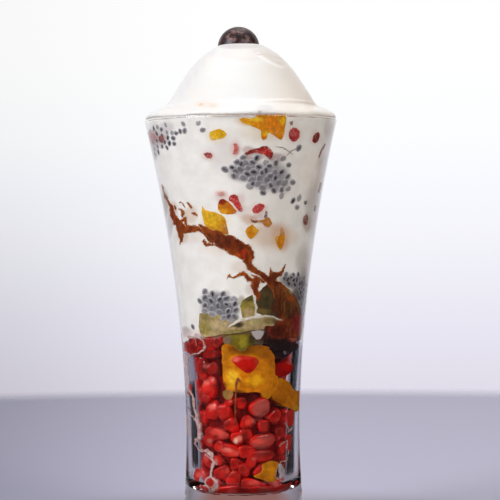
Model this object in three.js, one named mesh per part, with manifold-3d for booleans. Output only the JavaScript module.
// A falooda in a tall flared glass. Pomegranate arils and mango cubes fill the narrow foot
// of the glass, kiwi slices and a dark berry lie on them, and thick white milk with soaked
// basil seeds, fruit and a streak of brown sauce fills the flare up to the rim. A melting
// scoop of ice cream caps the rim, and a dark berry sits in its top.
//
// Millimetres, +Z up. The origin is the middle of the foot's flat underside. The front, -Y,
// is the side with the large mango cube. Azimuth is in degrees round the glass, 0 at the
// front and 90 at +X.

import * as THREE from "three";
import { mergeVertices } from "three/addons/utils/BufferGeometryUtils.js";
import Module from "manifold-3d";

const wasm = await Module();
wasm.setup();

// Driving dimensions

const GLASS_HEIGHT = 160;
const RIM_RADIUS = 38.1;
const WAIST_RADIUS = 22.5;
const WAIST_HEIGHT = 37;
const FLARE_POWER = 1.85;
const FOOT_RADIUS = 24.5;
const FOOT_BEVEL = 1.2;
const BASE_THICKNESS = 13; // solid glass under the hollow
const FLOOR_ROUNDING = 6;
const RIM_WALL = 1.8;
const FOOT_WALL_EXTRA = 4.6; // how much thicker the wall is at the hollow's floor
const WALL_FADE = 62; // height over which that extra thickness fades
const GLASS_SIDES = 28;

const GAP = 0.35; // clearance between neighbouring solids
const FRUIT_TOP = 72; // where the fruit ends and the milk begins
const MILK_TOP = 158;
const ARIL_LENGTH = 9.2;
const ARIL_WIDTH = 6.8;
const ARIL_DEPTH = 6.2;
const ARIL_ROWS = 6;
const ARILS_IN_ROW = 9;
const ARIL_ROW_PITCH = 9.1;
const HEAP_CORE_INSET = 4.6;
const BASIL_SEED_RADIUS = 1.6;
const BASIL_BED_DEPTH = 3.8;
const SAUCE_THICKNESS = 1.6;
const BERRY_RADIUS = 8.2;
const BERRY_CENTRE = [-0.6, 0, 188.4];
const SCOOP_SHIFT = 0.8; // the scoop stands a little to the right of the axis

// The glass's form

function outerRadius(z) {
  if (z >= WAIST_HEIGHT) {
    const t = (z - WAIST_HEIGHT) / (GLASS_HEIGHT - WAIST_HEIGHT);
    return WAIST_RADIUS + (RIM_RADIUS - WAIST_RADIUS) * t ** FLARE_POWER;
  }
  const t = (WAIST_HEIGHT - z) / WAIST_HEIGHT;
  return WAIST_RADIUS + (FOOT_RADIUS - WAIST_RADIUS) * t * t;
}

function wallThickness(z) {
  return RIM_WALL + FOOT_WALL_EXTRA * Math.exp(-(z - BASE_THICKNESS) / WALL_FADE);
}

const innerRadius = (z) => outerRadius(z) - wallThickness(z);

// Heights shared by the wall's inside and everything that fills it, so that both have the
// same facets.
const WALL_STATIONS = [32, 52, 72, 92, 110, 126, 141, 153];

// The inside of the hollow from the floor's middle to the rim, held `gap` clear of the glass.
function hollowProfile(gap) {
  const points = [new THREE.Vector2(0, BASE_THICKNESS + gap)];
  const cornerHeight = BASE_THICKNESS + FLOOR_ROUNDING;
  const cornerRadius = innerRadius(cornerHeight) - FLOOR_ROUNDING;
  for (const degrees of [0, 35, 65, 90]) {
    const turn = THREE.MathUtils.degToRad(degrees);
    points.push(
      new THREE.Vector2(
        cornerRadius + (FLOOR_ROUNDING - gap) * Math.sin(turn),
        cornerHeight - (FLOOR_ROUNDING - gap) * Math.cos(turn),
      ),
    );
  }
  for (const z of [...WALL_STATIONS, GLASS_HEIGHT])
    points.push(new THREE.Vector2(innerRadius(z) - gap, z));
  return points;
}

// The radius at a height of the surface that the filling reaches.
const fillingProfile = hollowProfile(GAP);

function fillingRadius(z) {
  for (let i = 2; i < fillingProfile.length; i++) {
    const [low, high] = [fillingProfile[i - 1], fillingProfile[i]];
    if (z <= high.y) return low.x + ((high.x - low.x) * (z - low.y)) / (high.y - low.y);
  }
  return fillingProfile[fillingProfile.length - 1].x;
}

// Meshes and solids

// A closed geometry as a solid for joining and cutting.
function solidOf(geometry) {
  const bare = geometry.clone();
  bare.deleteAttribute("normal");
  bare.deleteAttribute("uv");
  const merged = mergeVertices(bare, 1e-4);
  const corners = merged.index.array;
  const kept = [];
  for (let i = 0; i < corners.length; i += 3) {
    const [a, b, c] = [corners[i], corners[i + 1], corners[i + 2]];
    if (a !== b && b !== c && a !== c) kept.push(a, b, c);
  }
  const made = (triVerts) =>
    new wasm.Manifold(
      new wasm.Mesh({
        numProp: 3,
        vertProperties: merged.attributes.position.array,
        triVerts: new Uint32Array(triVerts),
      }),
    );
  const solid = made(kept);
  return solid.volume() > 0 ? solid : made(kept.reverse());
}

function geometryOf(solid) {
  const mesh = solid.getMesh();
  const geometry = new THREE.BufferGeometry();
  geometry.setAttribute("position", new THREE.BufferAttribute(mesh.vertProperties, 3));
  geometry.setIndex(new THREE.BufferAttribute(mesh.triVerts, 1));
  return geometry;
}

const largestBody = (solid) =>
  solid.decompose().reduce((best, body) => (body.volume() > best.volume() ? body : best));

const joined = (solids) => solids.reduce((all, next) => all.add(next));

const cutBy = (solid, tools) => tools.reduce((left, tool) => left.subtract(tool), solid);

const turnedProfile = (points, sides = GLASS_SIDES) =>
  new THREE.LatheGeometry(points, sides).rotateX(Math.PI / 2);

function slab(low, high) {
  const box = new THREE.BoxGeometry(100, 100, high - low);
  return solidOf(box.translate(0, 0, (low + high) / 2));
}

// A repeatable spread of values from 0 to 1.
function spread(index, salt = 0) {
  const value = Math.sin((index + 1) * 12.9898 + salt * 78.233) * 43758.5453;
  return value - Math.floor(value);
}

const hollow = solidOf(
  turnedProfile([...fillingProfile, new THREE.Vector2(0, GLASS_HEIGHT)]),
);

// Shapes that lie against the wall. Each is made flat: X runs along the wall to the right,
// Y up and Z out of the glass, with Z 0 at the filling's surface.

// Bends a thin shape round the wall.
function onWall(geometry, azimuth, height) {
  const corner = geometry.attributes.position;
  const bendRadius = fillingRadius(height);
  for (let i = 0; i < corner.count; i++) {
    const z = height + corner.getY(i);
    const turn = THREE.MathUtils.degToRad(azimuth) + corner.getX(i) / bendRadius;
    const radius = fillingRadius(z) + corner.getZ(i);
    corner.setXYZ(i, radius * Math.sin(turn), -radius * Math.cos(turn), z);
  }
  return geometry;
}

// Stands a firm shape at the wall, leaning as the wall leans there.
function atWall(geometry, azimuth, height) {
  const low = Math.max(height - 4, BASE_THICKNESS + FLOOR_ROUNDING);
  const lean = Math.atan((fillingRadius(low + 8) - fillingRadius(low)) / 8);
  geometry.rotateX(Math.PI / 2 + lean).translate(0, -fillingRadius(height), height);
  return geometry.rotateZ(THREE.MathUtils.degToRad(azimuth));
}

// An aril is blunt at one end and drawn in to a point at the other.
function arilShape({ size: [length, width, depth] }, grow) {
  const outline = [
    [0, -1],
    [0.85, -0.4],
    [0.9, 0.42],
    [0, 1],
  ].map(([r, y]) => new THREE.Vector2(r, y));
  const aril = new THREE.LatheGeometry(outline, 6);
  const more = 1.4 * grow; // its slanting faces then move out by the full clearance
  return aril.scale(width / 2 + more, length / 2 + more, depth / 2 + more);
}

// A cut cube of fruit has uneven corners.
function cubeShape({ size: [width, tall, depth], seed = 1 }, grow) {
  const uneven = 0.14;
  const across = width > 14 ? 2 : 1;
  const cube = new THREE.BoxGeometry(width, tall, depth, across, 1, 1);
  const corner = cube.attributes.position;
  for (let i = 0; i < corner.count; i++) {
    const [x, y, z] = [corner.getX(i), corner.getY(i), corner.getZ(i)];
    const id = 20 + Math.sign(Math.round(x)) + 3 * Math.sign(y) + 9 * Math.sign(z);
    corner.setXYZ(
      i,
      x * (1 + uneven * (spread(id, seed) - 0.5)) + Math.sign(Math.round(x)) * grow,
      y * (1 + uneven * (spread(id, seed + 1) - 0.5)) + Math.sign(y) * grow,
      z * (1 + uneven * (spread(id, seed + 2) - 0.5)) + Math.sign(z) * grow,
    );
  }
  return cube;
}

const ballShape = ({ size: [across] }, grow) =>
  new THREE.SphereGeometry(across / 2 + grow, 12, 8);

// One of the shapes above, tilted in the wall's plane, with its middle `sunk` behind the
// filling's surface.
function lying(shape, piece) {
  const depth = piece.size[2] ?? piece.size[0];
  return (grow) => {
    const flat = shape(piece, grow);
    flat.rotateZ(THREE.MathUtils.degToRad(piece.tilt ?? 0));
    flat.translate(0, 0, -(piece.sunk ?? depth / 2 - 0.8));
    return solidOf(atWall(flat, piece.azimuth, piece.height));
  };
}

// A kiwi slice is a thick disc. `lean` turns it from lying flat, 0, to facing the wall, 90.
function kiwiSlice({ radius, thick, azimuth, height, reach, lean, roll = 0 }) {
  return (grow) => {
    const tall = thick + 2 * grow;
    const disc = new THREE.CylinderGeometry(radius + grow, radius + grow, tall, 20);
    disc.rotateX(Math.PI / 2 + THREE.MathUtils.degToRad(lean));
    disc.rotateY(THREE.MathUtils.degToRad(roll));
    disc.translate(0, -reach, height);
    return solidOf(disc.rotateZ(THREE.MathUtils.degToRad(azimuth)));
  };
}

// Soaked basil seeds lie in a clump against the wall: round beads on a thin bed of them.
function basilClump({ azimuth, height, size: [width, tall], seeds, tilt = 0 }) {
  const turn = THREE.MathUtils.degToRad(tilt);
  const oval = (margin, depth, columns, rows) => {
    const shape = new THREE.SphereGeometry(1, columns, rows);
    shape.scale(width / 2 + margin, tall / 2 + margin, depth).rotateZ(turn);
    return shape;
  };
  return (grow) => {
    const room = oval(BASIL_SEED_RADIUS + 0.8 + grow, BASIL_BED_DEPTH + 1.4 + grow, 10, 5);
    const envelope = solidOf(onWall(room, azimuth, height));
    if (grow) return envelope;
    const bed = oval(0, BASIL_BED_DEPTH / 2, 8, 4).translate(0, 0, -BASIL_BED_DEPTH / 2 - 0.4);
    const beads = [];
    for (let i = 0; i < seeds; i++) {
      const out = 0.96 * Math.sqrt((i + 0.5) / seeds);
      const round = i * 2.39996;
      const bead = new THREE.IcosahedronGeometry(BASIL_SEED_RADIUS, 0);
      bead.rotateX(6 * spread(i, height));
      bead.translate((out * Math.cos(round) * width) / 2, (out * Math.sin(round) * tall) / 2, 0);
      bead.rotateZ(turn).translate(0, 0, -BASIL_SEED_RADIUS - 0.1);
      beads.push(solidOf(onWall(bead, azimuth, height)));
    }
    return joined([solidOf(onWall(bed, azimuth, height)), ...beads]).intersect(envelope);
  };
}

// A band of sauce along the wall. Each station is [azimuth, height, width].
function sauceBand(stations) {
  const last = stations.length - 1;
  const curve = new THREE.CatmullRomCurve3(stations.map((at) => new THREE.Vector3(...at)));
  return (grow) => {
    const corners = [];
    const faces = [];
    const quad = (a, b, c, d) => faces.push(a, b, c, a, c, d);
    for (let i = 0; i <= last; i++) {
      const at = curve.getPoint(i / last);
      const along = curve.getTangent(i / last);
      const perDegree = (fillingRadius(at.y) * Math.PI) / 180;
      const run = new THREE.Vector2(along.x * perDegree, along.y).normalize();
      const onward = i === 0 ? -grow : i === last ? grow : 0;
      at.x += (onward * run.x) / perDegree;
      at.y += onward * run.y;
      const half = at.z / 2 + grow;
      const outside = grow ? 1 : -0.05;
      const inside = -SAUCE_THICKNESS - grow;
      for (const [side, depth] of [
        [-1, outside],
        [1, outside],
        [1, inside],
        [-1, inside],
      ]) {
        const z = at.y + side * half * run.x;
        const turn = THREE.MathUtils.degToRad(at.x - (side * half * run.y) / perDegree);
        const radius = fillingRadius(z) + depth;
        corners.push(radius * Math.sin(turn), -radius * Math.cos(turn), z);
      }
    }
    for (let i = 0; i < last; i++)
      for (let k = 0; k < 4; k++) {
        const beside = (k + 1) % 4;
        quad(4 * i + k, 4 * i + 4 + k, 4 * i + 4 + beside, 4 * i + beside);
      }
    quad(0, 1, 2, 3);
    quad(4 * last + 3, 4 * last + 2, 4 * last + 1, 4 * last);
    const band = new THREE.BufferGeometry();
    band.setAttribute("position", new THREE.Float32BufferAttribute(corners, 3));
    band.setIndex(faces);
    return solidOf(band);
  };
}

// What lies in the glass. Pieces that come first keep their full form, and later ones are
// cut clear of them.

const MANGO = { roughness: 0.35, color: 0xd98f0a };
const KIWI = { roughness: 0.45, color: 0x9a8a45 };
const DARK_KIWI = { roughness: 0.45, color: 0x4f4a20 };
const RED = { roughness: 0.25, color: 0xa5120f };
const DARK = { roughness: 0.25, color: 0x2a171c };
const BASIL = { roughness: 0.5, color: 0x777782 };
const SAUCE = { roughness: 0.4, color: 0x7a3410 };
const WHITE = { roughness: 0.5, color: 0xece7e2 };
const CLEAR = { roughness: 0.02, color: 0xe8eef0, transparent: true, opacity: 0.35 };

const queue = [];
const add = (name, look, build) => queue.push({ name, look, build });
const aril = (name, at) => add(name, RED, lying(arilShape, at));
const mango = (name, at) => add(name, MANGO, lying(cubeShape, at));
const basil = (name, at) => add(name, BASIL, basilClump(at));

aril("aril_on_mango", { azimuth: 3, height: 64.6, size: [10.4, 7.2, 4.6], tilt: 88 });
aril("aril_by_berry", { azimuth: 51, height: 62.3, size: [9.2, 6, 6], tilt: 80 });
add(
  "dark_berry_right",
  DARK,
  lying(ballShape, { azimuth: 35, height: 70.6, size: [16], sunk: 6.9 }),
);
add(
  "kiwi_slice_flat",
  KIWI,
  kiwiSlice({ radius: 20, thick: 5.6, azimuth: -7, height: 80.4, reach: 4.5, lean: 4, roll: -7 }),
);
add(
  "kiwi_wedge",
  KIWI,
  lying(cubeShape, { azimuth: 5.5, height: 88.2, size: [5.8, 8.2, 8], seed: 21, tilt: 6 }),
);
add(
  "kiwi_slice_upright",
  DARK_KIWI,
  kiwiSlice({ radius: 12, thick: 8, azimuth: 41, height: 90.5, reach: 18.6, lean: 90 }),
);
add(
  "kiwi_slice_back",
  KIWI,
  kiwiSlice({ radius: 11, thick: 7, azimuth: 196, height: 84.5, reach: 18.2, lean: 84 }),
);
add(
  "kiwi_cube_front",
  KIWI,
  lying(cubeShape, { azimuth: -3, height: 73.4, size: [11, 6, 6], seed: 5 }),
);

basil("basil_seeds_high_left", { azimuth: -58, height: 150.4, size: [26, 7], seeds: 10, tilt: 14 });
basil("basil_seeds_middle", { azimuth: 15, height: 136.4, size: [25, 10], seeds: 11, tilt: -22 });
basil("basil_seeds_low_left", { azimuth: -24, height: 89, size: [15, 8], seeds: 7, tilt: -10 });
basil("basil_seeds_low_right", { azimuth: 72, height: 92, size: [10, 12], seeds: 7 });
basil("basil_seeds_back_high", { azimuth: 174, height: 130, size: [20, 9], seeds: 6, tilt: 18 });
basil("basil_seeds_side", { azimuth: 118, height: 146, size: [16, 7], seeds: 6, tilt: -10 });

// Mango in the foot of the glass
mango("mango_cube_front", { azimuth: 8, height: 62, size: [19.6, 19, 13], sunk: 9, seed: 3 });
mango("mango_cube_right", { azimuth: 66, height: 52.4, size: [19, 11.6, 9], seed: 7, tilt: -14 });
mango("mango_piece_low", { azimuth: 30, height: 22.6, size: [9.4, 8.6, 6], seed: 4, tilt: 15 });
mango("mango_cube_back", { azimuth: 172, height: 58, size: [16, 15, 10], seed: 9, tilt: 12 });
mango("mango_piece_left", { azimuth: 238, height: 37, size: [12, 10, 8], seed: 6, tilt: -20 });

// Mango in the milk
mango("mango_top_front", { azimuth: 16, height: 154.4, size: [14, 8.6, 7], seed: 2, tilt: -4 });
mango("mango_top_left", { azimuth: -14, height: 152.9, size: [6.4, 5, 5], seed: 8, tilt: 6 });
mango("mango_mid_left", { azimuth: -21, height: 120.6, size: [9.6, 9.8, 7], seed: 11, tilt: -24 });
mango("mango_wedge", { azimuth: -11, height: 125.4, size: [6.6, 4.6, 5], seed: 12, tilt: -28 });
mango("mango_mid_low", { azimuth: 8.5, height: 115.7, size: [5.2, 5.8, 5], seed: 13 });
mango("mango_mid_right", { azimuth: 32, height: 112.8, size: [5, 9, 5], seed: 14, tilt: 8 });
mango("mango_back_high", { azimuth: 158, height: 148, size: [10, 8, 7], seed: 15, tilt: 20 });
mango("mango_back_mid", { azimuth: 215, height: 113, size: [9, 8, 6], seed: 16, tilt: -15 });

// Arils in the milk
aril("aril_high_right", { azimuth: 34, height: 152.6, size: [5.6, 5, 5], tilt: 20 });
aril("aril_high_far_right", { azimuth: 55, height: 151.6, size: [5, 4.6, 4.6], tilt: -30 });
aril("aril_high_left", { azimuth: -24, height: 145, size: [4.6, 3.6, 4], tilt: 70 });
aril("aril_over_seeds", { azimuth: 11.5, height: 145.6, size: [11.6, 5.2, 5], tilt: 84 });
aril("aril_mid_left", { azimuth: -4, height: 126.6, size: [7.4, 4.2, 4.4], tilt: 28 });
aril("aril_mid_right", { azimuth: 13, height: 124.4, size: [6, 4, 4.6], tilt: -62 });
aril("aril_back_high", { azimuth: 192, height: 142, size: [8.4, 5.6, 5], tilt: 40 });
aril("aril_back_left", { azimuth: 243, height: 134, size: [8, 5.2, 5], tilt: 15 });
aril("aril_side_right", { azimuth: 97, height: 132, size: [7.6, 5, 5], tilt: 65 });

const mainStreak = sauceBand([
  [-135, 124, 2.5],
  [-104, 136, 4],
  [-76, 133.6, 2.8],
  [-64, 122.4, 4.4],
  [-54, 117.4, 4.6],
  [-40, 117, 3.4],
  [-23, 114.2, 5.2],
  [-10, 111, 6.6],
  [2, 107.4, 5.8],
  [8, 102.6, 3],
  [24, 97.6, 5],
]);
const drip = sauceBand([
  [-58, 117.6, 3.4],
  [-57.6, 114, 2.8],
  [-57.4, 110.6, 2],
]);
const lowBranch = sauceBand([
  [-8, 99.4, 1.4],
  [3, 99.6, 2.6],
  [13, 99.8, 2.6],
]);
add("sauce_streak", SAUCE, (grow) =>
  joined([mainStreak(grow), drip(grow), lowBranch(grow)]),
);
add(
  "sauce_pool",
  SAUCE,
  lying(cubeShape, { azimuth: 68, height: 77.6, size: [7, 7.6, 5], seed: 31, tilt: -6 }),
);

const filled = hollow.intersect(slab(0, MILK_TOP));
const fitted = [];
for (const { name, look, build } of queue) {
  const clear = cutBy(build(0), fitted.map((earlier) => earlier.pocket));
  fitted.push({ name, look, solid: largestBody(clear.intersect(filled)), pocket: build(GAP) });
}
const pockets = fitted.map((piece) => piece.pocket);

// The heap of arils in the foot of the glass: rows of arils on a smaller core.
function pomegranateHeap() {
  const low = BASE_THICKNESS + 2.5;
  const outline = [new THREE.Vector2(0, low)];
  for (const z of [low, 42, FRUIT_TOP])
    outline.push(new THREE.Vector2(innerRadius(Math.max(z, 22)) - HEAP_CORE_INSET, z));
  outline.push(new THREE.Vector2(0, FRUIT_TOP));
  const arils = [];
  for (let row = 0; row < ARIL_ROWS; row++)
    for (let k = 0; k < ARILS_IN_ROW; k++) {
      const id = row * ARILS_IN_ROW + k;
      const lie = {
        azimuth: ((k + 0.5 * (row % 2) + 0.3 * (spread(id, 2) - 0.5)) * 360) / ARILS_IN_ROW,
        height: BASE_THICKNESS + 5.4 + row * ARIL_ROW_PITCH + 1.6 * (spread(id, 1) - 0.5),
        size: [ARIL_LENGTH, ARIL_WIDTH, ARIL_DEPTH],
        tilt: 180 * spread(id, 3),
        sunk: ARIL_DEPTH / 2 + 0.1,
      };
      arils.push(lying(arilShape, lie)(0));
    }
  const heap = joined([solidOf(turnedProfile(outline, 12)), ...arils]);
  const within = heap.intersect(filled).intersect(slab(0, FRUIT_TOP));
  return largestBody(cutBy(within, pockets));
}

function milk() {
  const body = filled.subtract(slab(0, FRUIT_TOP + GAP));
  return largestBody(cutBy(body, pockets));
}

function glass() {
  const outside = [
    [0, 0],
    [FOOT_RADIUS - FOOT_BEVEL, 0],
    [outerRadius(FOOT_BEVEL), FOOT_BEVEL],
    ...[18, WAIST_HEIGHT, 66, 94, 118, 142].map((z) => [outerRadius(z), z]),
    [RIM_RADIUS - 0.1, GLASS_HEIGHT - 0.7],
    [RIM_RADIUS - 0.6, GLASS_HEIGHT],
  ].map(([r, z]) => new THREE.Vector2(r, z));
  return solidOf(turnedProfile([...outside, ...hollowProfile(0).reverse()]));
}

const berry = (grow) =>
  solidOf(new THREE.SphereGeometry(BERRY_RADIUS + grow, 16, 9).translate(...BERRY_CENTRE));

// The scoop sits on the milk inside the rim, spreads over the rim's top as a melted skirt,
// and rises from it as a dome with slack, uneven sides.
function iceCream() {
  const outline = [
    [0, MILK_TOP + GAP],
    [fillingRadius(MILK_TOP + GAP) - 0.1, MILK_TOP + GAP],
    [fillingRadius(GLASS_HEIGHT) - 0.1, GLASS_HEIGHT + GAP],
    [RIM_RADIUS - 0.9, GLASS_HEIGHT + GAP],
    [RIM_RADIUS - 0.6, GLASS_HEIGHT + 1.2],
    [35.8, 163.2],
    [31, 165.5],
    [28.2, 168.2],
    [25.4, 172.4],
    [22, 177],
    [18.6, 181.4],
    [13.6, 185.3],
    [7.5, 188.1],
    [0, 189.3],
  ].map(([r, z]) => new THREE.Vector2(r, z));
  const scoop = turnedProfile(outline);
  const corner = scoop.attributes.position;
  for (let i = 0; i < corner.count; i++) {
    const [x, y, z] = [corner.getX(i), corner.getY(i), corner.getZ(i)];
    const radius = Math.hypot(x, y);
    if (radius < 1e-6) continue;
    const turn = Math.atan2(x, -y);
    const free = THREE.MathUtils.smoothstep(z, GLASS_HEIGHT + 1, GLASS_HEIGHT + 5);
    const slack = 0.5 * Math.sin(3 * turn + 0.5) + 0.35 * Math.sin(5 * turn + z / 6);
    const scale = 1 + (free * slack) / Math.max(radius, 12);
    corner.setX(i, x * scale + free * SCOOP_SHIFT);
    corner.setY(i, y * scale);
  }
  return solidOf(scoop).subtract(berry(GAP));
}

// Assembly

// Each mesh stands at its own solid's middle, with its geometry round that point.
function place(group, name, solid, look) {
  const geometry = geometryOf(solid);
  geometry.computeBoundingBox();
  const middle = geometry.boundingBox.getCenter(new THREE.Vector3());
  geometry.translate(-middle.x, -middle.y, -middle.z);
  geometry.computeVertexNormals();
  const mesh = new THREE.Mesh(
    geometry,
    new THREE.MeshStandardMaterial({ metalness: 0, flatShading: true, ...look }),
  );
  mesh.name = name;
  mesh.position.copy(middle);
  group.add(mesh);
}

const falooda = new THREE.Group();
const vessel = new THREE.Group();
const filling = new THREE.Group();
const topping = new THREE.Group();
falooda.add(vessel, filling, topping);

place(vessel, "glass", glass(), CLEAR);
place(filling, "pomegranate_heap", pomegranateHeap(), RED);
place(filling, "milk", milk(), WHITE);
for (const { name, look, solid } of fitted) place(filling, name, solid, look);
place(topping, "ice_cream", iceCream(), WHITE);
place(topping, "top_berry", berry(0), DARK);

export default falooda;
